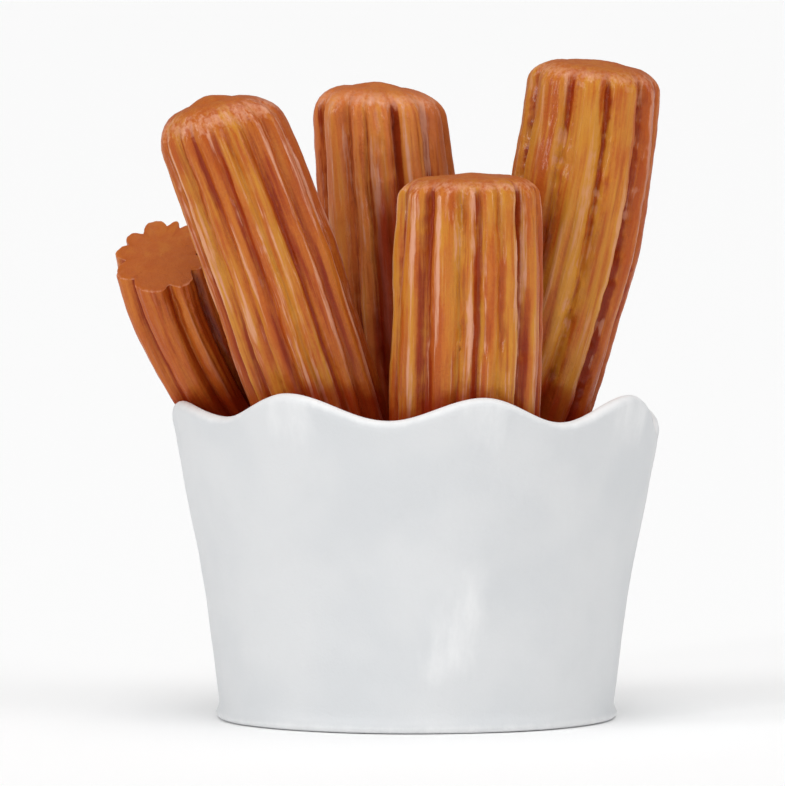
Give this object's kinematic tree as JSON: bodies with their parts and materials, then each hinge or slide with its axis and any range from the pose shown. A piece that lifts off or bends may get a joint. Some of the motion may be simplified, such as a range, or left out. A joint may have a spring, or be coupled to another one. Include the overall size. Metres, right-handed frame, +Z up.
{
  "type": "toy cup of churros",
  "caption": "Toy-size churros, fluted and golden brown, standing in a white paper cup with a wavy rim, as one painted resin casting.",
  "frame": {"origin": "middle of the cup's flat foot, on the surface that it stands on", "axes": "+Z is up along the cup's axis; -Y is the front, with the two nearest churros; +X is to the right as the front is seen"},
  "size_m": [0.0205, 0.0186, 0.0249],
  "materials": {
    "white_paint": "matte white paint on resin",
    "churro_paint": "satin golden brown paint on resin, darker in the grooves",
    "dark_brown_paint": "dark brown paint on resin"
  },
  "bodies": {
    "root": {"cup": "white_paint", "filling": "dark_brown_paint", "churro_front_middle": "churro_paint", "churro_front_left": "churro_paint", "churro_right": "churro_paint", "churro_middle": "churro_paint", "churro_left": "churro_paint", "churro_rear_left": "churro_paint", "churro_rear_right": "churro_paint"}
  },
  "joints": []
}
